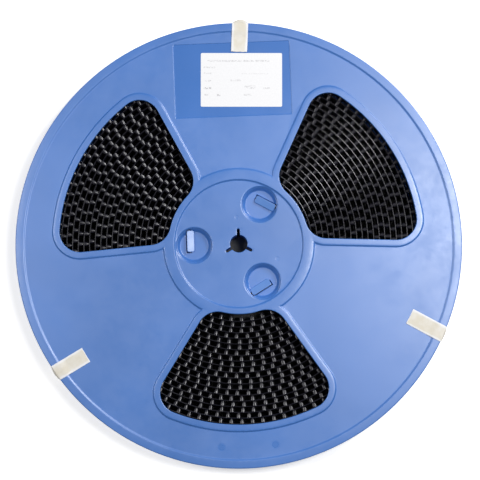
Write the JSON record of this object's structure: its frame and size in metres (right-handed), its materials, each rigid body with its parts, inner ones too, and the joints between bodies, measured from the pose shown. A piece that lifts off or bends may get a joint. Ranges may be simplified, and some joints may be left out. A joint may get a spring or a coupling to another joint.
{
  "type": "smd tape reel",
  "caption": "Plastic component reel wound with black embossed carrier tape; two round flanges with fan-shaped windows, a snap-in hub, a notched arbor hole and paper strips over the rim.",
  "frame": {"origin": "centre of the arbor hole in the plane that the rear flange rests on", "axes": "+Z along the reel's axis, up out of the front flange; +Y towards the label panel; +X to the right of the label"},
  "size_m": [0.33, 0.3345, 0.0224],
  "materials": {
    "flange_plastic": "semi-gloss moulded polystyrene, blue",
    "hub_plastic": "semi-gloss moulded polystyrene, blue",
    "tape_plastic": "black conductive polystyrene film, embossed",
    "label_paper": "smooth white label paper",
    "strip_paper": "creped cream masking tape"
  },
  "bodies": {
    "root": {"front_flange": "flange_plastic", "rear_flange": "flange_plastic", "hub": "hub_plastic", "carrier_tape": "tape_plastic", "label": "label_paper", "hold_strip_label": "strip_paper", "hold_strip_left": "strip_paper", "hold_strip_right": "strip_paper"}
  },
  "joints": []
}
